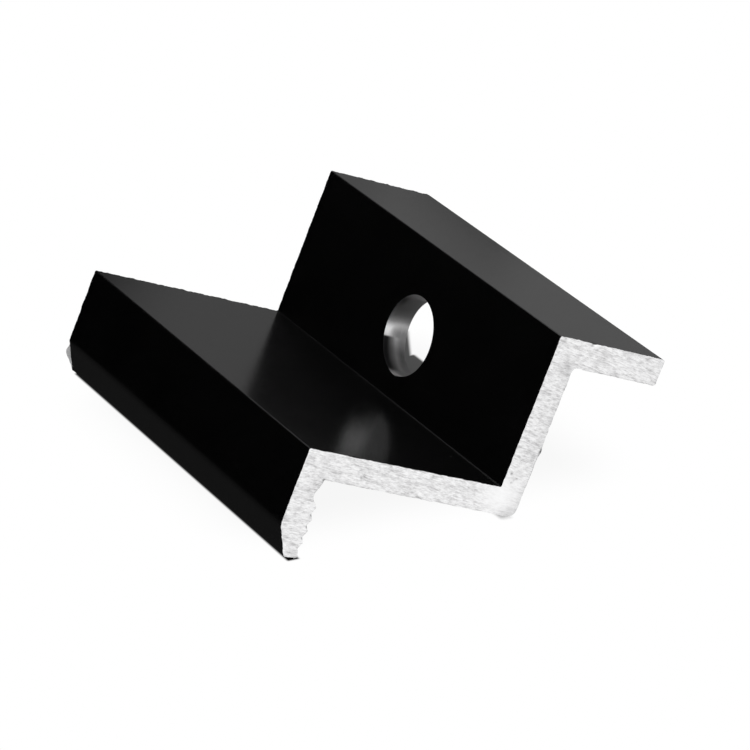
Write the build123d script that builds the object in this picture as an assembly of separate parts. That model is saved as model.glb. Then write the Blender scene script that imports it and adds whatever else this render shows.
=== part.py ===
from build123d import *

import os

# Solar end clamp: one length of extruded aluminium, sawn off and drilled for one bolt.
# It holds the end panel of a row down on its mounting rail.
# The section lies in XZ and runs along Y. +Z points up off the rail, and +X from the web
# to the leg, so the panel's frame stands on the -X side, under the toothed lip.
# The origin is the bolt hole's centre on the shelf's upper face, where the bolt head seats.
# Sizes are in millimetres.

# Extrusion as a whole
length = 50.0
wall = 3.0
shelf_width = 20.2
web_height = 24.5
leg_drop = 14.0

# Lip, measured from the web's frame side and from the lip's upper face
lip_reach = 8.75
lip_root = 3.2
lip_thickness = 3.45
bevel_run = 3.3
bevel_drop = 1.75

# Relief groove between the web and the teeth
relief_offset = 1.95
relief_waist = 2.4

# Teeth that bite on the panel's frame
first_tooth = 3.1
tooth_pitch = 1.3
tooth_depth = 0.42
tooth_radius = 0.22

# Corner radii of the section
edge_radius = 0.15
inner_radius = 0.15
fillet_radius = 0.45
foot_radius = 0.4
heel_radius = 0.95
relief_radius = 0.9
bevel_radius = 2.0
tip_radius = 0.3

# Hole for an M8 bolt
bolt_diameter = 8.0
bolt_clearance = 1.0


def tooth_outline(tip, lip_top):
    """Corners of the relief groove and the tooth row, from the web out to the lip's tip."""
    crest = lip_top - lip_thickness
    frame_side = tip + lip_reach
    corners = [(frame_side - relief_offset, lip_top - relief_waist, relief_radius)]
    tooth_count = int((lip_reach - first_tooth) / tooth_pitch)
    for tooth in range(tooth_count):
        reach = first_tooth + tooth * tooth_pitch
        corners.append((frame_side - reach, crest, tooth_radius))
        corners.append((frame_side - reach - tooth_pitch / 2, crest + tooth_depth, tooth_radius))
    corners.append((tip, crest, tooth_radius))
    return corners


def section_outline():
    """Corners of the whole section, each with its radius, from the lip's outer corner round."""
    frame_side = -shelf_width / 2
    web_side = frame_side + wall
    leg_outer = shelf_width / 2
    leg_inner = leg_outer - wall
    tip = frame_side - lip_reach
    return [
        (web_side, web_height, edge_radius),
        (web_side, 0, inner_radius),
        (leg_outer, 0, edge_radius),
        (leg_outer, -leg_drop, foot_radius),
        (leg_inner, -leg_drop, foot_radius),
        (leg_inner, -wall, fillet_radius),
        (frame_side, -wall, heel_radius),
        (frame_side, web_height - lip_root, inner_radius),
        *tooth_outline(tip, web_height),
        (tip, web_height - bevel_drop, tip_radius),
        (tip + bevel_run, web_height, bevel_radius),
    ]


def extruded_bar():
    """The section, carried along Y over the sawn length."""
    outline = section_outline()
    points = [(x, z) for x, z, radius in outline]
    radii = [radius for x, z, radius in outline]
    section = make_face(FilletPolyline(*points, radius=radii, close=True))
    return extrude(Plane.XZ * section, amount=length / 2, both=True)


def bolt_hole():
    """Clearance hole through the shelf, its rims left sharp from the drill."""
    radius = (bolt_diameter + bolt_clearance) / 2
    return Pos(0, 0, -wall / 2) * Cylinder(radius, 2 * wall)


os.makedirs("parts", exist_ok=True)
clamp_body = extruded_bar() - bolt_hole()
export_step(clamp_body, "parts/clamp_body.step")
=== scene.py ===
"""Solar end clamp: black anodised extrusion with bare sawn ends, drawn round its CAD frame.

The section lies in XZ and runs along Y. +Z points up off the rail and +X from the web to the
leg. Lengths in the settings are metres. The clamp is one closed mesh: its long faces are the
section carried along Y, its ends are grids between the section's two sides, and its hole is a
profile carried round a circle.
"""

import functools
import math

import bpy
import numpy as np
from mathutils import Matrix, Vector


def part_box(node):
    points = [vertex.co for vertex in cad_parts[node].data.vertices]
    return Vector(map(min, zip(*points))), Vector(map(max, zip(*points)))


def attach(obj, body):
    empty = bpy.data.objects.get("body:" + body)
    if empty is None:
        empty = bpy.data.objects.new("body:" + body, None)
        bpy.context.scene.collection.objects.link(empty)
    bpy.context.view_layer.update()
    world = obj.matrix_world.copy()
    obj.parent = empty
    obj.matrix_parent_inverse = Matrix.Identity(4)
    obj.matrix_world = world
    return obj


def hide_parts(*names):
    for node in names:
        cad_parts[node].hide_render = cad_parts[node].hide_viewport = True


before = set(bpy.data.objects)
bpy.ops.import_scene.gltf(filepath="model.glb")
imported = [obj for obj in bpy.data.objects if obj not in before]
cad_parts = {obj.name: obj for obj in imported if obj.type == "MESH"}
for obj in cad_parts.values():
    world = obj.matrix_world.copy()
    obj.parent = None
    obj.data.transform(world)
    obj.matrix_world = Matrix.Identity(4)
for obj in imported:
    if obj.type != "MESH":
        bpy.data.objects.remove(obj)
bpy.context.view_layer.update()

bl_info = {
    "name": "Solar End Clamp",
    "version": (1, 0, 0),
    "blender": (4, 5, 0),
    "location": "3D Viewport > Sidebar > End Clamp",
    "description": "Builds an extruded end clamp for solar panels with its stage",
    "category": "Add Mesh",
}

MM = 0.001


# Settings


def length_setting(name, description, millimetres):
    """A length that the panel shows in the scene's unit."""
    return bpy.props.FloatProperty(
        name=name,
        description=description,
        default=millimetres * MM,
        precision=5,
        subtype="DISTANCE",
        unit="LENGTH",
    )


def colour_setting(name, description, value):
    """A plain colour."""
    return bpy.props.FloatVectorProperty(
        name=name, description=description, default=value, size=3, min=0, max=1, subtype="COLOR"
    )


def share_setting(name, description, value):
    """A number from 0 to 1."""
    return bpy.props.FloatProperty(
        name=name, description=description, default=value, min=0, max=1, subtype="FACTOR"
    )


class ClampSection(bpy.types.PropertyGroup):
    """Sizes of the extruded section, its hole and its sawn ends."""

    wall: length_setting("Wall", "Thickness of the web, the shelf and the leg", 3.0)
    lip_root: length_setting("Lip root", "Thickness of the lip beside the web", 3.2)
    lip_thickness: length_setting("Lip thickness", "Height from the tooth crests to the top", 3.45)
    bevel_run: length_setting("Bevel run", "Width of the bevel along the lip's outer edge", 3.3)
    bevel_drop: length_setting("Bevel drop", "Depth of that bevel at the lip's tip", 1.75)
    lip_reach: length_setting("Lip reach", "How far the lip stands out from the web", 8.75)
    relief_offset: length_setting("Relief offset", "Reach of the groove beside the web", 1.95)
    relief_waist: length_setting("Relief waist", "Thickness of the lip over that groove", 2.4)
    first_tooth: length_setting("First tooth", "Distance from the web to the first crest", 3.1)
    tooth_pitch: length_setting("Tooth pitch", "Distance from crest to crest", 1.3)
    tooth_depth: length_setting("Tooth depth", "Depth of the valleys between crests", 0.42)
    hole_radius: length_setting("Hole radius", "Radius of the bolt hole", 4.5)
    edge_radius: length_setting("Edge radius", "Round of the web's and the leg's top edge", 0.15)
    inner_radius: length_setting("Inner radius", "Round of the two sharp inner corners", 0.15)
    fillet_radius: length_setting("Fillet radius", "Round between the shelf and the leg", 0.45)
    foot_radius: length_setting("Foot radius", "Round of the leg's two foot edges", 0.4)
    heel_radius: length_setting("Heel radius", "Round where the web meets the shelf's underside", 0.95)
    relief_radius: length_setting("Relief radius", "Round of the groove beside the web", 0.9)
    bevel_radius: length_setting("Bevel radius", "Round between the lip's top and its bevel", 2.0)
    tip_radius: length_setting("Tip radius", "Round of the lip's upper tip edge", 0.3)
    tooth_radius: length_setting("Tooth radius", "Round of the teeth and their valleys", 0.22)


class AnodisedSkin(bpy.types.PropertyGroup):
    """Finish of the black anodised faces."""

    colour: colour_setting("Colour", "Colour of the dyed skin", (0.0007, 0.0007, 0.0008))
    faded: colour_setting("Faded colour", "Colour where the dye took less", (0.0014, 0.0014, 0.0015))
    dust: colour_setting("Dust", "Colour of the specks of dust", (0.32, 0.32, 0.31))
    smooth: share_setting("Smoothest", "Roughness of the smoothest spots", 0.15)
    rough: share_setting("Roughest", "Roughness of the roughest spots", 0.24)
    grain: length_setting("Grain", "Size of the etched grain", 0.16)


class BareAluminium(bpy.types.PropertyGroup):
    """Finish of the sawn ends and the drilled hole."""

    bright: colour_setting("Bright", "Colour of freshly cut metal", (0.95, 0.95, 0.953))
    dull: colour_setting("Dull", "Colour of the dark streaks", (0.55, 0.545, 0.55))
    # The smear colour also paints the burr shadows and the shade along the lower sawn edges
    smear_and_shade: colour_setting("Smear", "Colour in pits, nicks and burr shadows", (0.02, 0.02, 0.021))
    burr: colour_setting("Burr", "Colour of torn metal", (0.85, 0.85, 0.855))
    bore: colour_setting("Bore", "Colour of the drilled wall", (0.3, 0.297, 0.3))
    # The bright colour of the bore shows its painted highlights
    bright_and_highlight: colour_setting("Rubbed", "Colour where the bolt rubbed the wall", (0.9, 0.895, 0.9))
    blade_radius: length_setting("Blade radius", "Radius of the saw blade that cut the ends", 300)
    spindle: length_setting("Spindle", "Height of the blade's spindle over the shelf", 32.0)
    streak: length_setting("Streak", "Spacing of the saw's fine streaks", 0.13)
    relief: length_setting("Relief", "Height of the saw marks", 0.012)


class ClampStage(bpy.types.PropertyGroup):
    """Floor, lamps, the card of painted reflections and camera."""

    floor: colour_setting("Floor", "Colour of the floor", (0.88, 0.88, 0.88))
    # Painted shade: the floor colour in the shelf's shadow zone stands in for that shadow
    shade: colour_setting("Shade", "Colour of the floor in the shade of the shelf", (0.32, 0.32, 0.32))
    # Painted contact shadow: the near black floor colour along the line under the lip's tip
    painted_contact_shadow: colour_setting("Contact", "Colour of the floor under the lip's tip", (0.02, 0.02, 0.02))
    key: bpy.props.FloatProperty(
        name="Key", description="Radiance that each lamp gives its share of", default=1.0
    )
    # Sheen, dusk and glow set the card's emission, which only the clamp's gloss shows: painted
    # reflections
    sheen: share_setting("Sheen", "Brightness that the leg and the web mirror", 0.262)
    dusk: share_setting("Dusk", "Brightness that the lip's bevel mirrors", 0.042)
    glow: share_setting("Glow", "Brightness of the card's upper part by the web", 0.55)
    lens: bpy.props.FloatProperty(
        name="Lens", description="Focal length on a 36 mm sensor", default=213.7, unit="CAMERA"
    )


# Numbers that repeat over a surface


def smooth_step(share):
    """0 to 1 with level ends: 3 t squared less 2 t cubed, t held between 0 and 1."""
    held = np.clip(share, 0, 1)
    return held * held * (3 - 2 * held)


def value_noise(across, along, seed):
    """Smooth noise from -1 to 1 with one random number at each whole pair of coordinates.

    The four numbers round a point are blended by the smooth steps of its two fractions.
    """
    period = 256
    table = np.random.default_rng(seed).uniform(-1, 1, (period, period))
    column, row = np.floor(across).astype(int), np.floor(along).astype(int)
    u, v = smooth_step(across - column), smooth_step(along - row)
    corner = [
        [table[(column + a) % period, (row + b) % period] for b in (0, 1)] for a in (0, 1)
    ]
    near = corner[0][0] * (1 - v) + corner[0][1] * v
    far = corner[1][0] * (1 - v) + corner[1][1] * v
    return near * (1 - u) + far * u


def bump_at(x, z, place, size):
    """Bell-shaped spot: e to the power of minus the squared distance over the squared size.

    place is the spot's x and z, and size its two half widths along x and z.
    """
    return np.exp(-(((x - place[0]) / size[0]) ** 2) - ((z - place[1]) / size[1]) ** 2)


# Section


def section_sides(section):
    """Corners of the section as rows of x, z and radius, from the lip's tip to the foot.

    The first array is the upper side, over the lip, down the web, along the shelf and down
    the leg. The second is the lower side, past the teeth, the groove and the heel.
    """
    low, high = (np.array(corner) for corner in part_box("clamp_body"))
    tip, leg_outer, foot, top = low[0], high[0], low[2], high[2]
    frame_side = tip + section.lip_reach
    web_side, leg_inner = frame_side + section.wall, leg_outer - section.wall
    upper = np.array([
        (tip, top - section.bevel_drop, section.tip_radius),
        (tip + section.bevel_run, top, section.bevel_radius),
        (web_side, top, section.edge_radius),
        (web_side, 0, section.inner_radius),
        (leg_outer, 0, section.edge_radius),
        (leg_outer, foot, section.foot_radius),
    ])
    crest = top - section.lip_thickness
    tooth_count = int((section.lip_reach - section.first_tooth) / section.tooth_pitch)
    tooth_x = frame_side - section.first_tooth - section.tooth_pitch * np.arange(tooth_count)
    teeth = np.stack([tooth_x, tooth_x - section.tooth_pitch / 2], axis=1).ravel()
    heights = np.tile([crest, crest + section.tooth_depth], tooth_count)
    rounds = np.full(len(teeth), section.tooth_radius)
    tooth_rows = np.stack([teeth, heights, rounds], axis=1)
    lower = np.array([
        (tip, crest, section.tooth_radius),
        *tooth_rows[::-1],
        (frame_side - section.relief_offset, top - section.relief_waist, section.relief_radius),
        (frame_side, top - section.lip_root, section.inner_radius),
        (frame_side, -section.wall, section.heel_radius),
        (leg_inner, -section.wall, section.fillet_radius),
        (leg_inner, foot, section.foot_radius),
    ])
    return upper, lower


def corner_arcs(corners, steps):
    """Points of the round at each corner of a closed outline, steps + 1 for each.

    The outline turns there by an angle a, from direction d to the next one. The arc starts
    radius * tan(a / 2) before the corner, and its point at share t lies radius * sin(t a)
    along d and radius * (1 - cos(t a)) to the side that it turns to.
    """
    point, radius = corners[:, :2], corners[:, 2]
    run = point - np.roll(point, 1, axis=0)
    run /= np.linalg.norm(run, axis=1, keepdims=True)
    following = np.roll(run, -1, axis=0)
    cross = run[:, 0] * following[:, 1] - run[:, 1] * following[:, 0]
    turn = np.arctan2(cross, (run * following).sum(axis=1))
    side = np.stack([-run[:, 1], run[:, 0]], axis=1) * np.sign(turn)[:, None]
    start = point - run * (radius * np.tan(abs(turn) / 2))[:, None]
    angle = abs(turn)[:, None] * np.linspace(0, 1, steps + 1)
    along = np.sin(angle)[..., None] * run[:, None]
    aside = (1 - np.cos(angle))[..., None] * side[:, None]
    return start[:, None] + radius[:, None, None] * (along + aside)


class SectionLoop:
    """Closed outline of the section, sampled closely at its rounds and evenly on its runs.

    Point 0 is halfway round the lip's upper tip corner, and the loop goes over the upper side,
    down the foot's edge, back along the lower side and up the tip's edge. Both sides have the
    same number of points between matching corners, so that a grid joins them over the ends.
    """

    # Steps of each round's arc, how many of them the loop keeps, and the steps of the runs
    arc_steps = 32
    arc_share = 6
    run_step = 0.15 * MM
    # Cells of an end's grid from side to side, and how many of its lines bend to the edges
    across = 22
    bent_lines = 6

    def __init__(self, section):
        upper, lower = section_sides(section)
        arcs = corner_arcs(np.concatenate([upper, lower[::-1]]), self.arc_steps)
        middle = self.arc_steps // 2
        dense = np.roll(arcs.reshape(-1, 2), -middle, axis=0)
        dense = np.concatenate([dense, dense[:1]])
        gap = np.linalg.norm(np.diff(dense, axis=0), axis=1)
        weight = np.maximum(gap / self.run_step, self.arc_share / self.arc_steps)
        travelled = np.concatenate([[0], np.cumsum(weight)])
        station = travelled[:: self.arc_steps + 1]
        last = len(upper) + len(lower) - 1
        # Matching corners: tip, lip root, shelf root, leg root and foot
        above = station[[0, 2, 3, 4, 5]]
        below = station[[last, last - self.lip_corners(lower), 8, 7, 6]]
        spans = np.maximum(np.diff(above), -np.diff(below))
        self.counts = np.ceil(spans).astype(int)
        marks = [*above, *below[::-1], travelled[-1]]
        steps = [*self.counts, self.across, *self.counts[::-1], self.across]
        pieces = [
            np.linspace(a, b, n, endpoint=False) for a, b, n in zip(marks, marks[1:], steps)
        ]
        place = np.concatenate(pieces)
        self.x = np.interp(place, travelled, dense[:, 0])
        self.z = np.interp(place, travelled, dense[:, 1])
        self.size = len(place)
        self.along = self.counts.sum() + 1
        tangent = np.stack([
            np.roll(self.x, -1) - np.roll(self.x, 1), np.roll(self.z, -1) - np.roll(self.z, 1)
        ])
        tangent /= np.linalg.norm(tangent, axis=0)
        self.out_x, self.out_z = -tangent[1], tangent[0]

    @staticmethod
    def lip_corners(lower):
        """How many corners lie between the lip's root and its tip on the lower side."""
        return len(lower) - 4

    def end_grid(self, first_border, first_inside):
        """Index of each point of an end's grid: upper side to lower side, tip to foot.

        Its four edges are points of the loop, numbered from first_border, and those inside are
        numbered from first_inside.
        """
        along, across = self.along, self.across
        grid = np.zeros((along, across + 1), int)
        grid[:, 0] = np.arange(along)
        grid[:, -1] = along - 1 + across + np.arange(along)[::-1]
        grid[-1, :] = along - 1 + np.arange(across + 1)
        grid[0, :] = (self.size - np.arange(across + 1)) % self.size
        grid += first_border
        inside = (along - 2, across - 1)
        grid[1:-1, 1:-1] = first_inside + np.arange(math.prod(inside)).reshape(inside)
        return grid

    def end_inside(self, x, z):
        """Places of the points inside an end's grid.

        Each lies on the straight line from the upper side to the lower side, at an even share,
        and the first and last few lines bend towards the tip's and the foot's edges.
        """
        grid = self.end_grid(0, 0)
        share = np.linspace(0, 1, self.across + 1)[None, :]
        from_tip = np.arange(self.along)[:, None]
        fade = [np.clip(1 - lines / self.bent_lines, 0, 1) for lines in (from_tip, from_tip[::-1])]
        result = []
        for value in (x, z):
            line = value[grid[:, :1]] * (1 - share) + value[grid[:, -1:]] * share
            tip_edge = value[grid[:1, :]] - line[:1]
            foot_edge = value[grid[-1:, :]] - line[-1:]
            result.append((line + fade[0] * tip_edge + fade[1] * foot_edge)[1:-1, 1:-1].ravel())
        return result


def grid_faces(index, close=False):
    """Four-sided faces over a grid of point numbers, wound from rows towards columns."""
    if close:
        index = np.concatenate([index, index[:, :1]], axis=1)
    corners = [index[:-1, :-1], index[:-1, 1:], index[1:, 1:], index[1:, :-1]]
    return np.stack([corner.ravel() for corner in corners], axis=1)


# Sawn ends


def blade_distance(x, z, bare):
    """Distance from the saw's spindle, which all points of one streak share."""
    return np.hypot(x + bare.blade_radius, z - bare.spindle)


def saw_relief(x, z, bare, seed):
    """How deep the cut lies at each point of an end, in metres, never below 0.

    Bands of noise over the distance from the spindle, drawn out along Z, make the streaks. A
    wider and a finer band are added, 2 to 1, and scaled to the relief's height.
    """
    reach = blade_distance(x, z, bare)
    wide_width, wide_length, fine_width, fine_length = 0.9 * MM, 14 * MM, 0.3 * MM, 5 * MM
    wide = value_noise(reach / wide_width, z / wide_length, seed)
    fine = value_noise(reach / fine_width, z / fine_length, seed + 1)
    return bare.relief * (0.5 + wide / 3 + fine / 6)


# Places of the struck and torn spots, as x and z
LEG_NICK = (10.1 * MM, -4.45 * MM)
SHELF_BURR = (-2.5 * MM, -3 * MM)
FAR_BURR = (-17.3 * MM, 23.5 * MM)

# The near end's pits, smears and painted burr shadows
NEAR_PITS = np.array([
    # x, z, half width, half height and depth in mm, and darkness
    (-5.46, -0.63, 0.13, 0.11, 0.08, 0.8),
    (-5.86, -1.44, 0.07, 0.09, 0.06, 0.6),
    (-6.15, -1.17, 0.08, 0.08, 0.06, 0.7),
    (-6.4, -1.01, 0.09, 0.08, 0.06, 0.6),
    (-8.85, 16.9, 0.15, 0.1, 0.08, 0.6),
    (-9.1, 17.2, 0.1, 0.1, 0.06, 0.5),
    (-7.2, 14.2, 0.12, 0.1, 0.08, 0.6),
    (-7.15, 11.25, 0.12, 0.09, 0.05, 0.8),
    (-9.95, 9.4, 0.1, 0.5, 0.04, 0.35),
    (-10.15, 21.4, 0.17, 0.17, 0.14, 1.0),
    # Painted burr shadows at the three tooth valleys
    (-14.0, 21.34, 0.17, 0.12, 0.05, 0.95),
    (-15.3, 21.34, 0.17, 0.12, 0.05, 0.95),
    (-16.6, 21.34, 0.17, 0.12, 0.05, 0.85),
    (-18.3, 22.2, 0.22, 0.18, 0.03, 0.25),
    # Painted shadow of the burr under the shelf
    (-2.55, -3.08, 0.6, 0.13, 0.0, 1.0),
    (-3.2, -2.45, 0.25, 0.4, 0.03, 0.28),
    (10.0, -4.3, 0.16, 0.16, 0.06, 0.6),
    (8.73, -4.58, 0.2, 0.16, 0.03, 0.28),
    (8.63, -12.8, 0.18, 0.35, 0.03, 0.25),
    (9.1, -10.95, 0.15, 0.3, 0.03, 0.25),
    (9.76, -0.65, 0.12, 0.2, 0.03, 0.35),
    # Broad darker stretches by the fillet, the heel, the shelf's underside and the lip's root
    (6.9, -2.2, 1.0, 1.1, 0.0, 0.2),
    (-9.6, -2.3, 0.9, 0.9, 0.0, 0.16),
    (-7.6, -2.9, 1.6, 0.5, 0.0, 0.14),
    (0.5, -2.7, 4.5, 0.7, 0.0, 0.09),
    (-11.2, 22.0, 1.2, 1.2, 0.0, 0.1),
])


def near_defects(x, z):
    """Pits, the struck spot at the leg, the smears and the painted burr shadows of the near end,
    as shares from 0 to 1.

    Each is a bell-shaped spot, and the spots add up. Returns depth in metres and the darkness
    and brightness of each point.
    """
    spots = [bump_at(x, z, pit[:2] * MM, pit[2:4] * MM) for pit in NEAR_PITS]
    depth = sum(spot * pit[4] * MM for spot, pit in zip(spots, NEAR_PITS))
    dark = sum(spot * pit[5] for spot, pit in zip(spots, NEAR_PITS))
    nick = bump_at(x, z, LEG_NICK, (0.25 * MM, 0.2 * MM))
    polish_and_highlight = bump_at(x, z, (-7.9 * MM, -0.4 * MM), (2.4 * MM, 2.6 * MM))
    flash = bump_at(x, z, (9.95 * MM, -5.05 * MM), (0.2 * MM, 0.3 * MM))
    fleck = bump_at(x, z, (-7.2 * MM, 13.9 * MM), (0.2 * MM, 0.25 * MM))
    nick_depth = 0.12 * MM
    depth = depth + nick_depth * nick
    return depth, np.clip(dark, 0, 1), np.clip(polish_and_highlight + flash + fleck, 0, 1)


def edge_shade(loop, travelled, near):
    """Painted shade: darkness of a thin line along the sawn edges of the lower side, at each loop
    point.

    It is a mean level, more or less by noise along the loop, and none on the upper side.
    """
    mean, swing, spacing = 0.16, 0.2, 1.3 * MM
    upper = np.arange(loop.size) < loop.along
    uneven = value_noise(travelled / spacing, np.zeros(loop.size), 61 + near)
    return np.clip(mean + swing * uneven, 0, 1) * ~upper


def edge_lift(loop, travelled, near):
    """How far a sawn edge stands out from the section, in metres, at each point of the loop.

    All of it is ragged by a wider and a finer noise along the loop. The near end adds a burr
    under the shelf and a nick in the leg's outer edge.
    """
    ragged = value_noise(travelled / (0.55 * MM), np.zeros(loop.size), 41 + near)
    crumbs = value_noise(travelled / (0.19 * MM), np.zeros(loop.size), 47 + near)
    lift = MM * (0.03 * ragged + 0.028 * crumbs)
    if near:
        shelf_burr = bump_at(loop.x, loop.z, SHELF_BURR, (0.6 * MM, 0.4 * MM))
        nick = bump_at(loop.x, loop.z, LEG_NICK, (0.4 * MM, 0.2 * MM))
        downward, outward = loop.out_z < -0.5, loop.out_x > 0.5
        lift = lift + MM * 0.15 * shelf_burr * downward
        lift = lift - MM * 0.13 * nick * outward
    return lift


def far_tongue(x, z, column):
    """How far the far end's torn burr stands out beyond the end, in metres.

    It is a bump over the lip's bevel, full on the first line of points inside the upper edge
    and a third of that on the second.
    """
    tallest = 1.4 * MM
    over_bevel = bump_at(x, z, FAR_BURR, (1.1 * MM, 1.3 * MM))
    return tallest * over_bevel * ((column == 1) + (column == 2) / 3)


# The clamp's mesh


def long_stations(length, patch):
    """Places along Y where the section stands, closest at the sawn ends and at the hole.

    From each end the steps grow by a fixed ratio up to the hole's patch, which is cut evenly.
    """
    first_step, steps, patch_stations = 0.04 * MM, 11, 25
    reached = np.geomspace(first_step, length / 2 - patch, steps)
    near = np.concatenate([[0], reached]) - length / 2
    middle = np.linspace(-patch, patch, patch_stations)
    return np.concatenate([near[:-1], middle, -near[:-1][::-1]])


def nearest_to(values, numbers, target):
    """Of these point numbers, the one whose value comes nearest to the target."""
    return numbers[np.argmin(abs(values[numbers] - target))]


def rectangle_ring(start, stop, first, last, size):
    """Point numbers round a rectangle of the long faces, each once.

    It runs from section point start to stop at station first, on to station last, back, and
    down again. A point's number is its station times the loop's size, plus its place in it.
    """
    step = 1 if stop > start else -1
    there = np.arange(start, stop, step) + first * size
    rise = np.arange(first, last) * size + stop
    back = np.arange(stop, start, -step) + last * size
    fall = np.arange(last, first, -1) * size + start
    return np.concatenate([there, rise, back, fall])


def hole_rows(section):
    """Profile of the hole from the shelf's top to its underside, as rows.

    Each row is the share of the way out to the patch's edge and the height. The rings on the
    faces come closer towards the hole, and those of the wall are even.
    """
    out = np.array([0.72, 0.48, 0.29, 0.15, 0.06])
    depth = np.linspace(0, -section.wall, 19)
    share = np.concatenate([out, np.zeros(len(depth)), out[::-1]])
    height = np.concatenate([np.zeros(len(out)), depth, np.full(len(out), -section.wall)])
    return share, height


# Angle in degrees, with its half width, of a small notch in the hole's upper rim, which carries a
# painted highlight
RIM_NOTCH_HIGHLIGHT = (181, 11)


def bell(value, middle, half):
    """Bell curve: e to the power of minus the squared distance over the squared half width."""
    return np.exp(-(((value - middle) / half) ** 2))


def wall_painted_reflections(angle, height):
    """Painted highlights and dark reflections of the drilled wall, by the angle round it and the
    height.

    A painted highlight under the upper rim ends sharply where a painted dark reflection begins, a
    lighter painted ring lies halfway down there, a spot of the rim carries a painted highlight, and
    the wall is painted lighter at angles under about 104 degrees, with two smaller painted dark
    reflections. Each mark is a product of smooth steps over the angle in degrees and of bell
    curves over the depth in millimetres.
    """
    turn = np.degrees(angle) % 360
    down = -height / MM
    stretch_start, stretch_end = 109.5, 172
    past_step = smooth_step((turn - stretch_start) / 3.5)
    # patch, ring, rim and upper are painted highlights; the three dark terms are painted dark
    # reflections
    patch = smooth_step((turn - 80) / 14) * (1 - past_step) * bell(down, 0.1, 0.9)
    ring = past_step * smooth_step((stretch_end - turn) / 14) * bell(down, 1.7, 0.36)
    rim = bell(turn, *RIM_NOTCH_HIGHLIGHT) * bell(down, 0.4, 0.4)
    dark_reflection = past_step * smooth_step((stretch_end - turn) / 10) * bell(down, 0.3, 0.8)
    upper_dark_reflection = bell(turn, 50, 12) * bell(down, 0.35, 0.45)
    low_dark_reflection = bell(turn, 138, 13) * bell(down, 2.55, 0.4)
    upper = smooth_step((104 - turn) / 20) * smooth_step((down + 0.1) / 0.5)
    dark = 1.1 * dark_reflection + 0.6 * upper_dark_reflection + 0.45 * low_dark_reflection
    bright = 1.2 * patch + 1.3 * upper + 0.4 * ring + 1.2 * rim
    return np.clip(dark, 0, 1), np.clip(bright, 0, 1)


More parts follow.
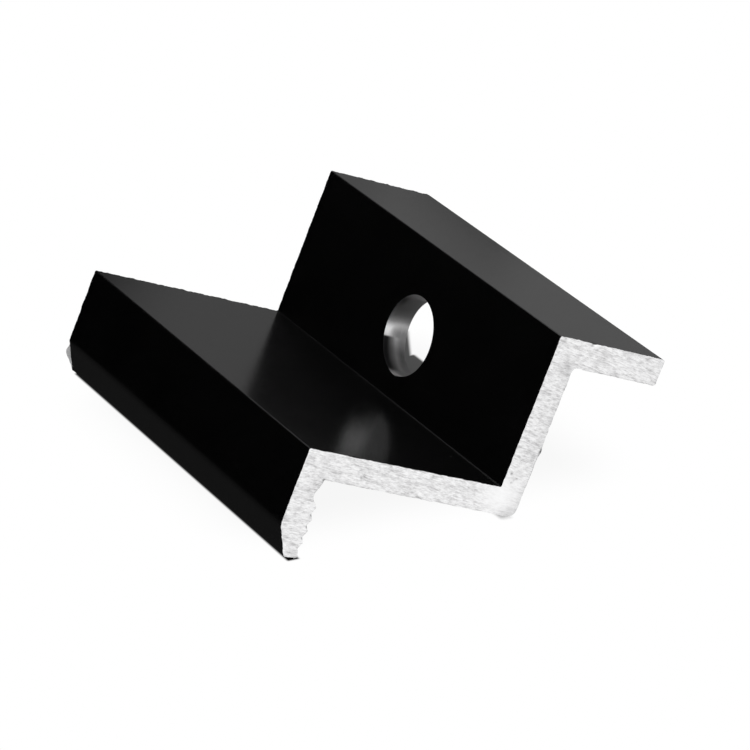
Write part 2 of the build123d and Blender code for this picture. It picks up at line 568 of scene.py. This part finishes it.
class ClampShell:
    """The whole clamp as one closed mesh: its long faces, its sawn ends and its hole.

    Points of the long faces are a grid of stations by section points, and a point's number
    there is its station times the section's size, plus its place in the section. Each face has
    a finish: 0 is the anodised skin, 1 a sawn end, 2 the drilled wall and 3 the torn burr. Each
    point has its smear and painted shade, and its polish and painted highlight: the shares by
    which it is darker or brighter.
    """

    # Half the side of the square round the hole, and how far a sawn edge's burr fades
    patch = 6.3 * MM
    edge_fade = 0.16 * MM

    def __init__(self, section, bare):
        low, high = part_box("clamp_body")
        self.section, self.bare = section, bare
        self.loop = SectionLoop(section)
        self.station = long_stations(high.y - low.y, self.patch)
        # Each end: whether it is the near one, its station and its seed
        self.ends = ((1, 0, 11), (0, len(self.station) - 1, 23))
        self.points, self.smear_and_shade, self.polish_and_highlight = [], [], []
        self.faces, self.finishes = [], []
        self.add_section_points()
        for near, row, seed in self.ends:
            self.add_end(near, row, seed)
        self.add_skin()
        self.add_hole()

    def add_points(self, points, smear_and_shade, polish_and_highlight):
        """Adds points with their marks, and returns the number of the first one."""
        first = sum(len(part) for part in self.points)
        self.points.append(points.reshape(-1, 3))
        self.smear_and_shade.append(smear_and_shade.ravel())
        self.polish_and_highlight.append(polish_and_highlight.ravel())
        return first

    def add_faces(self, faces, finish):
        """Adds faces, with one finish for all of them or one for each."""
        self.faces.append(faces)
        self.finishes.append(np.broadcast_to(finish, len(faces)))

    def joined(self):
        """Points, faces, finishes, smear and painted shade, and polish and painted highlight, each as
        one array.
        """
        lists = (self.points, self.faces, self.finishes, self.smear_and_shade, self.polish_and_highlight)
        return [np.concatenate(parts) for parts in lists]

    def add_section_points(self):
        """Section points at each station, with the sawn edges' burrs and the cuts' depth.

        Both are full at the end and fall with the distance from it, by e to the power of minus
        that distance over the fade.
        """
        loop, station = self.loop, self.station
        travelled = np.concatenate([
            [0], np.cumsum(np.hypot(np.diff(loop.x), np.diff(loop.z)))
        ])
        x, y, z = (
            np.array(grid) for grid in np.broadcast_arrays(loop.x, station[:, None], loop.z)
        )
        smear_and_shade, polish_and_highlight = np.zeros(x.shape), np.zeros(x.shape)
        for near, row, seed in self.ends:
            fade = np.exp(-abs(station - station[row]) / self.edge_fade)[:, None]
            lift = edge_lift(loop, travelled, near)
            x += fade * lift * loop.out_x
            z += fade * lift * loop.out_z
            depth = saw_relief(loop.x, loop.z, self.bare, seed)
            # Painted shade along the sawn edges of the lower side
            smear_and_shade[row] = edge_shade(loop, travelled, near)
            if near:
                pits, dark, polish_and_highlight[row] = near_defects(loop.x, loop.z)
                depth = depth + pits
                smear_and_shade[row] = np.maximum(smear_and_shade[row], dark)
            y += fade * depth * (1 if near else -1)
        self.add_points(np.stack([x, y, z], axis=-1), smear_and_shade, polish_and_highlight)

    def add_end(self, near, row, seed):
        """One sawn end: a grid over the section, bounded by the points of its last station."""
        loop = self.loop
        border = self.points[0][row * loop.size : (row + 1) * loop.size]
        x, z = loop.end_inside(border[:, 0], border[:, 2])
        depth = saw_relief(x, z, self.bare, seed)
        smear_and_shade, polish_and_highlight = np.zeros(len(x)), np.zeros(len(x))
        torn = np.zeros((loop.along - 1, loop.across), bool)
        if near:
            pits, smear_and_shade, polish_and_highlight = near_defects(x, z)
            depth = depth + pits
        else:
            column = np.tile(np.arange(1, loop.across), loop.along - 2)
            depth = depth - far_tongue(x, z, column)
            torn[:, :3] = abs(loop.x[: loop.along - 1, None] - FAR_BURR[0]) < 1.7 * MM
        y = self.station[row] + depth * (1 if near else -1)
        first = self.add_points(np.stack([x, y, z], axis=1), smear_and_shade, polish_and_highlight)
        faces = grid_faces(loop.end_grid(row * loop.size, first))
        self.add_faces(faces if near else faces[:, ::-1], np.where(torn.ravel(), 3, 1))

    def hole_patch(self):
        """Pairs of stations and of section points that bound the square round the hole.

        The second pair is on the shelf's top and the third one on its underside.
        """
        loop, station = self.loop, self.station
        stations = [np.argmin(abs(station - side * self.patch)) for side in (-1, 1)]
        begin = loop.counts[:2].sum()
        upper = np.arange(begin, begin + loop.counts[2] + 1)
        lower = loop.along - 1 + loop.across + (loop.along - 1 - upper)
        above = [nearest_to(loop.x, upper, side * self.patch) for side in (-1, 1)]
        below = nearest_to(loop.x, lower, -self.patch)
        return stations, above, [below, below - (above[1] - above[0])]

    def add_skin(self):
        """The long faces, without the two squares round the hole."""
        stations, above, below = self.hole_patch()
        count, size = len(self.station), self.loop.size
        faces = grid_faces(np.arange(count * size).reshape(count, size), close=True)
        row, place = np.divmod(np.arange(len(faces)), size)

        def within(value, pair):
            return (value >= min(pair)) & (value < max(pair))

        cut = within(row, stations) & (within(place, above) | within(place, below))
        self.add_faces(faces[~cut][:, ::-1], 0)

    def add_hole(self):
        """Rings from the square on the shelf's top, down the drilled wall, to the one below.

        A point of the circle is at radius r and angle a, at r cos a and r sin a. Its angle is
        that of its point on the upper square, and turns evenly down the wall to that of the
        lower square's. On the two faces it is moved by the ring's share out to the square.
        """
        section, size = self.section, self.loop.size
        stations, above, below = self.hole_patch()
        above = rectangle_ring(*above, *stations, size)
        below = rectangle_ring(*below, *stations, size)
        share, height = hole_rows(section)
        upper_square, lower_square = self.points[0][above], self.points[0][below]
        start = np.arctan2(upper_square[:, 1], upper_square[:, 0])
        end = np.arctan2(lower_square[:, 1], lower_square[:, 0])
        turn = np.angle(np.exp(1j * (end - start)))
        angle = start + np.clip(-height / section.wall, 0, 1)[:, None] * turn
        level = np.broadcast_to(height[:, None], angle.shape)
        share = share[:, None]
        wobble = value_noise(level / (0.4 * MM), angle * 3 / math.pi + 9, 77)
        # A small notch in the upper rim, where a painted highlight lies too
        marked = bell(np.degrees(angle) % 360, *RIM_NOTCH_HIGHLIGHT) * (level == 0)
        radius = section.hole_radius + MM * (0.006 * wobble + 0.1 * marked) * (share == 0)
        circle = np.stack([radius * np.cos(angle), radius * np.sin(angle)], axis=-1)
        is_upper = (np.arange(len(share)) < len(share) / 2)[:, None, None]
        square = np.where(is_upper, upper_square[:, :2], lower_square[:, :2])
        flat = circle * (1 - share[..., None]) + square * share[..., None]
        rings = np.concatenate([flat, level[..., None]], axis=-1)
        # The rings' darkness and brightness are the wall's painted dark reflections and highlights
        first = self.add_points(rings, *wall_painted_reflections(angle, level))
        numbers = first + np.arange(angle.size).reshape(angle.shape)
        faces = grid_faces(np.concatenate([above[None], numbers, below[None]]), close=True)
        row = np.arange(len(faces)) // len(above)
        rim = np.argmax(share == 0)
        on_wall = (row > rim) & (row < len(numbers) - rim)
        self.add_faces(faces, np.where(on_wall, 2, 0))


def mesh_object(name, points, faces, finishes, materials):
    """Object at the origin with these points, four-sided faces and finishes."""
    mesh = bpy.data.meshes.new(name)
    mesh.vertices.add(len(points))
    mesh.vertices.foreach_set("co", points.astype(np.float32).ravel())
    mesh.loops.add(faces.size)
    mesh.loops.foreach_set("vertex_index", faces.astype(np.int32).ravel())
    mesh.polygons.add(len(faces))
    mesh.polygons.foreach_set("loop_start", np.arange(0, faces.size, 4, dtype=np.int32))
    mesh.polygons.foreach_set("material_index", finishes.astype(np.int32))
    mesh.update(calc_edges=True)
    mesh.validate(verbose=False)
    for material in materials:
        mesh.materials.append(material)
    built = bpy.data.objects.new(name, mesh)
    bpy.context.scene.collection.objects.link(built)
    return built


# Materials


class Nodes:
    """Node tree of one material, built a node at a time."""

    def __init__(self, name):
        self.material = bpy.data.materials.new(name)
        self.material.use_nodes = True
        self.tree = self.material.node_tree
        self.shader = self.tree.nodes["Principled BSDF"]
        self.place = self.add("ShaderNodeTexCoord").outputs["Object"]

    def add(self, kind, values=None, **settings):
        """One node with these settings, its inputs linked to sockets or set to values."""
        node = self.tree.nodes.new(kind)
        for name, value in settings.items():
            setattr(node, name, value)
        for name, value in (values or {}).items():
            self.put(node.inputs[name], value)
        return node

    def put(self, socket, value):
        """Links a socket to another's output, or writes a plain value on it."""
        if isinstance(value, bpy.types.NodeSocket):
            self.tree.links.new(value, socket)
        else:
            socket.default_value = value

    def stretched(self, scale):
        """The place, scaled apart along X, Y and Z."""
        return self.add("ShaderNodeMapping", {"Vector": self.place, "Scale": scale}).outputs[0]

    def noise(self, size, vector=None, detail=2.0, roughness=0.5):
        """Noise with spots of this size in metres."""
        values = {
            "Vector": vector or self.place,
            "Scale": 1 / size,
            "Detail": detail,
            "Roughness": roughness,
        }
        return self.add("ShaderNodeTexNoise", values).outputs["Fac"]

    def spread(self, value, low, high, to_low=0.0, to_high=1.0):
        """The value carried from one range to another and held there."""
        values = {0: value, 1: low, 2: high, 3: to_low, 4: to_high}
        return self.add("ShaderNodeMapRange", values).outputs[0]

    def maths(self, operation, first, second=0.5):
        """Two numbers put together."""
        return self.add("ShaderNodeMath", {0: first, 1: second}, operation=operation).outputs[0]

    def weighted(self, *terms):
        """Sum of numbers, each times its weight."""
        total = 0.0
        for value, weight in terms:
            total = self.maths("ADD", total, self.maths("MULTIPLY", value, weight))
        return total

    def mixed(self, share, first, second):
        """Two colours mixed by a share."""
        node = self.add("ShaderNodeMix", {"Factor": share}, data_type="RGBA")
        colours = [socket for socket in node.inputs if socket.type == "RGBA"]
        for socket, value in zip(colours, (first, second)):
            self.put(socket, value)
        return next(socket for socket in node.outputs if socket.type == "RGBA")

    def attribute(self, name):
        """A number kept at each point of the mesh."""
        return self.add("ShaderNodeAttribute", attribute_name=name).outputs["Fac"]

    def one_sided(self, surface, hidden):
        """Shows this surface from its front only, and not at all where hidden is 1."""
        behind = self.add("ShaderNodeNewGeometry").outputs["Backfacing"]
        clear = self.add("ShaderNodeBsdfTransparent").outputs[0]
        share = self.maths("MAXIMUM", behind, hidden)
        mix = self.add("ShaderNodeMixShader", {0: share, 1: surface, 2: clear})
        self.put(self.tree.nodes["Material Output"].inputs["Surface"], mix.outputs[0])
        self.tree.nodes.remove(self.shader)
        return self.material

    def finish(self, height, depth, **inputs):
        """Sets the shader's inputs by name, with a bump of this height field and depth."""
        bump = self.add("ShaderNodeBump", {"Height": height, "Distance": depth, "Strength": 1.0})
        self.put(self.shader.inputs["Normal"], bump.outputs[0])
        for name, value in inputs.items():
            self.put(self.shader.inputs[name.replace("_", " ")], value)
        return self.material


def opaque(colour):
    """A colour with its alpha."""
    return (*colour, 1.0)


def anodised_material(skin):
    """Dyed, finely etched skin: satin grain, faint lines from the die and a few dust specks.

    The specks are the middles of Voronoi cells, in those whose random colour is reddest.
    """
    nodes = Nodes("black_anodised_skin")
    grain = nodes.noise(skin.grain, detail=3.0, roughness=0.6)
    die_lines = nodes.noise(0.22 * MM, nodes.stretched((1, 0.004, 1)), detail=2.0)
    clouds = nodes.noise(7 * MM, detail=3.0, roughness=0.6)
    colour = nodes.mixed(
        nodes.spread(clouds, 0.35, 0.7), opaque(skin.colour), opaque(skin.faded)
    )
    cells = nodes.add(
        "ShaderNodeTexVoronoi", {"Vector": nodes.place, "Scale": 1 / (6.5 * MM)}
    )
    near_speck = nodes.spread(cells.outputs["Distance"], 0.006, 0.014, 1.0, 0.0)
    red = nodes.add("ShaderNodeSeparateColor", {"Color": cells.outputs["Color"]}).outputs[0]
    chosen = nodes.maths("GREATER_THAN", red, 0.7)
    speck = nodes.maths("MULTIPLY", near_speck, chosen)
    colour = nodes.mixed(speck, colour, opaque(skin.dust))
    height = nodes.weighted((grain, 1.0), (die_lines, 0.4))
    patchy = nodes.weighted((clouds, 0.15), (grain, 0.85))
    return nodes.finish(
        height,
        0.006 * MM,
        Base_Color=colour,
        Roughness=nodes.spread(patchy, 0.35, 0.65, skin.smooth, skin.rough),
        IOR=1.45,
    )


def streak_field(nodes, bare, spacing, drawn_out, seed):
    """Noise drawn out along the arcs that a blade leaves.

    One coordinate is the distance from the spindle and the other the height, divided by how
    far a streak is drawn out.
    """
    flat = nodes.stretched((1, 0, 1))
    spindle = (-bare.blade_radius, 0, bare.spindle)
    reach = nodes.add("ShaderNodeVectorMath", {0: flat, 1: spindle}, operation="DISTANCE")
    height = nodes.add("ShaderNodeSeparateXYZ", {0: nodes.place}).outputs["Z"]
    vector = nodes.add("ShaderNodeCombineXYZ", {
        0: reach.outputs["Value"], 1: nodes.maths("MULTIPLY", height, 1 / drawn_out), 2: seed
    })
    return nodes.noise(spacing, vector.outputs[0], detail=3.0, roughness=0.6)


def sawn_material(bare):
    """Bare sawn aluminium: fine arcs of the blade, dull streaks, torn specks, smears and painted burr
    shadows.
    """
    nodes = Nodes("bare_sawn_aluminium")
    fine = streak_field(nodes, bare, bare.streak, 7, 0.0)
    broad = streak_field(nodes, bare, 0.5 * MM, 5, 0.37)
    torn = nodes.noise(0.3 * MM, nodes.stretched((1, 1, 0.5)), detail=5.0, roughness=0.75)
    dull = nodes.weighted(
        (nodes.spread(fine, 0.42, 0.7), 0.6),
        (nodes.spread(broad, 0.48, 0.72), 0.55),
        (nodes.spread(torn, 0.46, 0.72), 0.65),
    )
    polish_and_highlight = nodes.attribute("polish_and_highlight")
    dull = nodes.maths("MULTIPLY", dull, nodes.spread(polish_and_highlight, 0, 1, 1, 0.12))
    colour = nodes.mixed(dull, opaque(bare.bright), opaque(bare.dull))
    # Smears, with the painted burr shadows and edge shade
    colour = nodes.mixed(nodes.attribute("smear_and_shade"), colour, opaque(bare.smear_and_shade))
    height = nodes.weighted((fine, 1.0), (torn, 0.8))
    return nodes.finish(
        height,
        0.01 * MM,
        Base_Color=colour,
        Metallic=1.0,
        Roughness=nodes.spread(fine, 0.3, 0.7, 0.42, 0.6),
    )


def bore_material(bare):
    """Bare drilled wall: fine rings of the drill, with painted highlights in places and painted dark
    reflections elsewhere.
    """
    nodes = Nodes("bare_drilled_aluminium")
    rings = nodes.noise(0.09 * MM, nodes.stretched((0.05, 0.05, 1)), detail=3.0, roughness=0.6)
    bands = nodes.noise(1.1 * MM, nodes.stretched((1, 1, 0.25)), detail=2.0)
    shade = nodes.weighted((rings, 0.4), (bands, 0.6))
    # Share of the bright colour: the painted highlights, and a little of the rings' and bands' tone
    marked = nodes.maths("ADD", nodes.attribute("polish_and_highlight"), nodes.spread(shade, 0.5, 0.7, 0, 0.2))
    colour = nodes.mixed(marked, opaque(bare.bore), opaque(bare.bright_and_highlight))
    # Painted dark reflections of the wall
    colour = nodes.mixed(nodes.attribute("smear_and_shade"), colour, opaque(bare.smear_and_shade))
    return nodes.finish(
        rings,
        0.006 * MM,
        Base_Color=colour,
        Metallic=1.0,
        Roughness=nodes.spread(nodes.attribute("polish_and_highlight"), 0, 1, 0.46, 0.3),
    )


def burr_material(bare):
    """Torn metal of the far end's burr, which has a matt, crumbled look."""
    nodes = Nodes("torn_aluminium")
    crumbs = nodes.noise(0.25 * MM, detail=4.0, roughness=0.7)
    colour = nodes.mixed(nodes.spread(crumbs, 0.35, 0.7), opaque(bare.bright), opaque(bare.burr))
    return nodes.finish(crumbs, 0.05 * MM, Base_Color=colour, Roughness=0.7)


# Operators


def settings_of(context, name):
    """One of the clamp's groups of settings, from the scene."""
    return getattr(context.scene, name)


class CLAMP_OT_build_body(bpy.types.Operator):
    """Build the clamp with its anodised skin, sawn ends and drilled hole"""

    bl_idname = "end_clamp.build_body"
    bl_label = "Build Clamp"

    def execute(self, context):
        bare = settings_of(context, "bare_aluminium")
        section = settings_of(context, "clamp_section")
        points, faces, finishes, smear_and_shade, polish_and_highlight = ClampShell(section, bare).joined()
        materials = [
            anodised_material(settings_of(context, "anodised_skin")),
            sawn_material(bare),
            bore_material(bare),
            burr_material(bare),
        ]
        clamp = mesh_object("end_clamp", points, faces, finishes, materials)
        for name, values in (("smear_and_shade", smear_and_shade), ("polish_and_highlight", polish_and_highlight)):
            attribute = clamp.data.attributes.new(name, "FLOAT", "POINT")
            attribute.data.foreach_set("value", values.astype(np.float32))
        clamp.data.polygons.foreach_set("use_smooth", np.ones(len(faces), bool))
        clamp.data.set_sharp_from_angle(angle=math.radians(38))
        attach(clamp, "root")
        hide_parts("clamp_body")
        return {"FINISHED"}


def table_plane(section):
    """Normal, height, upward axis and touched places of the plane under the tip and the heel.

    The plane stands on both round corners, so the tip's centre less its radius and the heel's
    centre less its radius have the same height over it. Its normal lies in XZ.
    """
    low, high = (np.array(corner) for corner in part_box("clamp_body"))
    tip_radius, heel_radius = section.tooth_radius, section.heel_radius
    tip = np.array([low[0] + tip_radius, high[2] - section.lip_thickness + tip_radius])
    heel = np.array([low[0] + section.lip_reach + heel_radius, heel_radius - section.wall])
    apart = heel - tip
    distance = np.hypot(*apart)
    angle = math.atan2(apart[1], apart[0]) + math.acos((heel_radius - tip_radius) / distance)
    normal = np.array([math.cos(angle), 0, math.sin(angle)])
    up = np.array([-normal[2], 0, normal[0]])
    touching = [heel @ up[[0, 2]], tip @ up[[0, 2]]]
    return normal, heel @ normal[[0, 2]] - heel_radius, up, touching


def lamp(name, direction, radiance, centre):
    """Soft square lamp, aimed at the centre. Its radiance is what its face shows."""
    distance, side = 0.6, 0.5
    data = bpy.data.lights.new(name, "AREA")
    data.shape = "SQUARE"
    data.size = side
    data.energy = radiance * side * side * math.pi
    built = bpy.data.objects.new(name, data)
    toward = Vector(direction).normalized()
    built.location = centre + toward * distance
    built.rotation_euler = toward.to_track_quat("Z", "Y").to_euler()
    built.visible_camera = False
    bpy.context.scene.collection.objects.link(built)


class CLAMP_OT_build_stage(bpy.types.Operator):
    """Build the floor, the lamps, the background and the camera"""

    bl_idname = "end_clamp.build_stage"
    bl_label = "Build Stage"

    def execute(self, context):
        stage = settings_of(context, "clamp_stage")
        section = settings_of(context, "clamp_section")
        build_floor(stage, section)
        build_light(stage)
        build_camera(stage)
        return {"FINISHED"}


def floor_material(stage, up, touching):
    """Pale floor, seen only from its front, that shows white except where the shadow is kept.

    The share of the floor's own shading is the largest of five zones: faint under the whole
    clamp, full in two under the shelf, and one along each line that the clamp stands on. A
    zone is a rectangle on the floor, and falls to nothing with the distance from it. The floor's
    colour also carries painted shade: a mid grey painted shadow in the two under the shelf, and
    a near black painted contact shadow along the line under the lip's tip.
    """
    nodes = Nodes("pale_floor")
    path = nodes.add("ShaderNodeLightPath").outputs

    def beyond(axis, middle, half):
        """How far the place lies past half of the rectangle's side, along an axis."""
        along = nodes.add("ShaderNodeVectorMath", {0: nodes.place, 1: axis},
                          operation="DOT_PRODUCT").outputs["Value"]
        away = nodes.maths("ABSOLUTE", nodes.maths("SUBTRACT", along, middle))
        return nodes.maths("MAXIMUM", nodes.maths("SUBTRACT", away, half), 0.0)

    def zone(middle, half, fade, full, turn=0):
        """Share of one rectangle. Its middle and half are along Y and up the floor, in mm.

        It is turned on the floor by some degrees, from Y towards the upward axis.
        """
        cos, sin = math.cos(math.radians(turn)), math.sin(math.radians(turn))
        axes = (0, cos, 0) + sin * up, (0, -sin, 0) + cos * up
        centre = middle[0] * cos + middle[1] * sin, middle[1] * cos - middle[0] * sin
        sides = nodes.add("ShaderNodeCombineXYZ", {
            i: beyond(tuple(axes[i]), centre[i] * MM, half[i] * MM) for i in (0, 1)
        })
        distance = nodes.add("ShaderNodeVectorMath", {0: sides.outputs[0]}, operation="LENGTH")
        falling = nodes.add(
            "ShaderNodeMapRange",
            {0: distance.outputs["Value"], 1: 0.0, 2: fade * MM, 3: full, 4: 0.0},
            interpolation_type="SMOOTHSTEP",
        )
        return falling.outputs[0]

    def largest(*shares):
        """The largest of these shares."""
        return functools.reduce(lambda a, b: nodes.maths("MAXIMUM", a, b), shares)

    heel, tip = (place / MM for place in touching)
    under_shelf = largest(
        zone((11.9, -7.4), (3.3, 2.4), 0.6, 1.0),
        zone((17.4, -8.8), (5.3, 1.35), 0.6, 1.0, -26.6),
    )
    under_tip = zone((0, tip + 0.4), (25.05, 0.5), 0.4, 1.0)
    under_heel = zone((0, heel + 0.5), (25.1, 0.3), 0.7, 0.5)
    under_all = zone((0, 7.5), (14, 16.5), 11, 0.08)
    kept = largest(under_all, under_shelf, under_heel, under_tip)
    mirrored = nodes.maths("ADD", path["Is Glossy Ray"], path["Is Transmission Ray"])
    seen = nodes.maths("MINIMUM", nodes.maths("ADD", path["Is Camera Ray"], mirrored), 1.0)
    white_share = nodes.maths("MULTIPLY", nodes.maths("SUBTRACT", 1.0, kept), seen)
    # Painted shade under the shelf, and a painted contact shadow under the lip's tip
    colour = nodes.mixed(under_shelf, opaque(stage.floor), opaque(stage.shade))
    colour = nodes.mixed(under_tip, colour, opaque(stage.painted_contact_shadow))
    matt = nodes.add("ShaderNodeBsdfDiffuse", {"Color": colour})
    white = nodes.add("ShaderNodeEmission")
    shaded = nodes.add("ShaderNodeMixShader", {
        0: white_share, 1: matt.outputs[0], 2: white.outputs[0]
    })
    return nodes.one_sided(shaded.outputs[0], path["Is Shadow Ray"])


def build_floor(stage, section):
    """Flat floor under the lip's tip and the heel, which the clamp lies on in the picture."""
    half_side = 1.5
    normal, height, up, touching = table_plane(section)
    corners = np.array([(-1, -1), (-1, 1), (1, 1), (1, -1)]) * half_side
    points = normal * height + corners[:, :1] * np.array([0, 1, 0]) + corners[:, 1:] * up
    material = floor_material(stage, up, touching)
    floor = mesh_object("floor", points, np.array([[0, 1, 2, 3]]), np.zeros(1), [material])
    face_along(floor, normal)
    build_card(stage, normal, height, up)


def face_along(built, normal):
    """Turns the faces over if the first one looks away from this normal."""
    if built.data.polygons[0].normal.dot(Vector(normal)) < 0:
        built.data.flip_normals()


def card_glow(stage, back, rise, across):
    """How brightly the card shines at each of its places: the painted reflections that the clamp's
    gloss shows.

    It is the largest of three: the sheen, low down by the web and the leg and less a gap that
    the hole's mirror image shows, the dusk by the lip's bevel, and the glow high up by the web.
    Each is a product of smooth steps over back, rise and across, in millimetres.
    """
    back, rise, across = back / MM, rise / MM, across / MM

    def below(value, limit, width):
        """1 where the value is under the limit by the width or more, and 0 above the limit."""
        return smooth_step((limit - value) / width)

    sheen = stage.sheen * (0.72 * below(across, -2, 18) + 0.28 * below(across, -44, 8))
    through_hole = below(abs(across + 57), 13, 6) * below(rise, 13, 4)
    by_lip = below(-across, -12, 8) * below(across, 44, 9) * below(back, 40, 8)
    high_up = below(-rise, -50, 15) * below(across, 5, 25)
    shining = (sheen * (1 - 0.95 * through_hole), stage.dusk * by_lip, stage.glow * high_up)
    return np.maximum.reduce(shining)


def build_card(stage, normal, height, up):
    """Dark card behind the clamp that only its gloss shows, and that shines softly in places: a sheet
    of painted reflections.

    Its profile runs back over the floor, turns up on an arc and goes on straight off the
    floor. It is carried across, up the floor's slope.
    """
    start, wall, turn, top, half_width = np.array([-24.6, 62, 12, 100, 170]) * MM
    lift = 0.4 * MM
    run = np.linspace(start, wall, 22)[:-1]
    bend = np.linspace(0, math.pi / 2, 9)
    climb = np.linspace(turn, top, 31)[1:]
    back = np.concatenate([run, wall + turn * np.sin(bend), np.full(len(climb), wall + turn)])
    rise = np.concatenate([np.zeros(len(run)), turn * (1 - np.cos(bend)), climb]) + lift
    back, rise = back[:, None], rise[:, None]
    across = np.linspace(-half_width, half_width, 69)[None, :]
    points = (
        (rise + height)[..., None] * normal
        + back[..., None] * np.array([0, 1, 0])
        + across[..., None] * up
    ).reshape(-1, 3)
    faces = grid_faces(np.arange(len(points)).reshape(len(back), -1))
    nodes = Nodes("painted_reflection_card")
    shown = nodes.add("ShaderNodeEmission", {"Strength": nodes.attribute("glow")})
    material = nodes.one_sided(shown.outputs[0], 0.0)
    card = mesh_object("painted_reflection_card", points, faces, np.zeros(len(faces)), [material])
    face_along(card, normal)
    glow = card_glow(stage, back, rise, across)
    attribute = card.data.attributes.new("glow", "FLOAT", "POINT")
    attribute.data.foreach_set("value", glow.astype(np.float32).ravel())
    card.visible_camera = False
    card.visible_diffuse = False
    card.visible_shadow = False
    card.visible_transmission = False


def build_light(stage):
    """Soft lamps in front and behind, and an even background that shows white.

    The background is white to the camera, to gloss and through glass, and gives matt faces a
    weak light.
    """
    low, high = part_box("clamp_body")
    centre = (low + high) / 2
    for name, direction, share in (
        ("front_lamp", (0.5, -0.85, 0.1), 0.8),
        ("top_lamp", (0.94, 0.0, 0.35), 1.0),
        ("back_lamp", (0.3, 0.95, 0.0), 2.6),
        ("under_lamp", (-1.0, 0.3, -0.3), 0.8),
    ):
        lamp(name, direction, share * stage.key, centre)
    bpy.context.scene.view_settings.view_transform = "Standard"
    world = bpy.data.worlds.new("studio")
    bpy.context.scene.world = world
    world.use_nodes = True
    tree = world.node_tree
    path = tree.nodes.new("ShaderNodeLightPath")
    seen = path.outputs["Is Camera Ray"]
    for kind in ("Is Glossy Ray", "Is Transmission Ray"):
        either = tree.nodes.new("ShaderNodeMath")
        either.operation = "ADD"
        tree.links.new(seen, either.inputs[0])
        tree.links.new(path.outputs[kind], either.inputs[1])
        seen = either.outputs[0]
    strength = tree.nodes.new("ShaderNodeMapRange")
    tree.links.new(seen, strength.inputs["Value"])
    strength.inputs["To Min"].default_value = 0.15
    strength.inputs["To Max"].default_value = 1.0
    background = tree.nodes["Background"]
    tree.links.new(strength.outputs[0], background.inputs["Strength"])
    background.inputs["Color"].default_value = (1, 1, 1, 1)


def build_camera(stage):
    """Camera at the picture's place, rolled so that +X points up in it and -Z to the right."""
    place = Vector((100.1, -379.6, 276.8)) * MM
    right = Vector((0.3533, -0.4820, -0.8018)).normalized()
    forward = Vector((-0.2191, 0.7906, -0.5719)).normalized()
    up = right.cross(forward).normalized()
    right = forward.cross(up).normalized()
    turn = Matrix((right, up, -forward)).transposed().to_4x4()
    data = bpy.data.cameras.new("camera")
    data.lens = stage.lens
    data.sensor_width = 36
    data.clip_start = 0.01
    camera = bpy.data.objects.new("camera", data)
    camera.matrix_world = Matrix.Translation(place) @ turn
    bpy.context.scene.collection.objects.link(camera)
    bpy.context.scene.camera = camera


class CLAMP_PT_panel(bpy.types.Panel):
    """Sidebar panel with the clamp's settings and builders."""

    bl_idname = "CLAMP_PT_panel"
    bl_label = "Solar End Clamp"
    bl_space_type = "VIEW_3D"
    bl_region_type = "UI"
    bl_category = "End Clamp"

    def draw(self, context):
        for name, group in GROUPS.items():
            box = self.layout.box()
            for setting in group.bl_rna.properties:
                if setting.identifier not in ("rna_type", "name"):
                    box.prop(getattr(context.scene, name), setting.identifier)
        for operator in (CLAMP_OT_build_body, CLAMP_OT_build_stage):
            self.layout.operator(operator.bl_idname)


GROUPS = {
    "clamp_section": ClampSection,
    "anodised_skin": AnodisedSkin,
    "bare_aluminium": BareAluminium,
    "clamp_stage": ClampStage,
}
CLASSES = (*GROUPS.values(), CLAMP_OT_build_body, CLAMP_OT_build_stage, CLAMP_PT_panel)


def register():
    """Adds the classes and puts the settings on the scene."""
    for item in CLASSES:
        bpy.utils.register_class(item)
    for name, group in GROUPS.items():
        setattr(bpy.types.Scene, name, bpy.props.PointerProperty(type=group))


def unregister():
    """Takes the settings and the classes away again."""
    for name in GROUPS:
        delattr(bpy.types.Scene, name)
    for item in reversed(CLASSES):
        bpy.utils.unregister_class(item)


def main():
    """Builds the clamp and its stage."""
    register()
    bpy.ops.end_clamp.build_body()
    bpy.ops.end_clamp.build_stage()


if __name__ == "__main__":
    main()
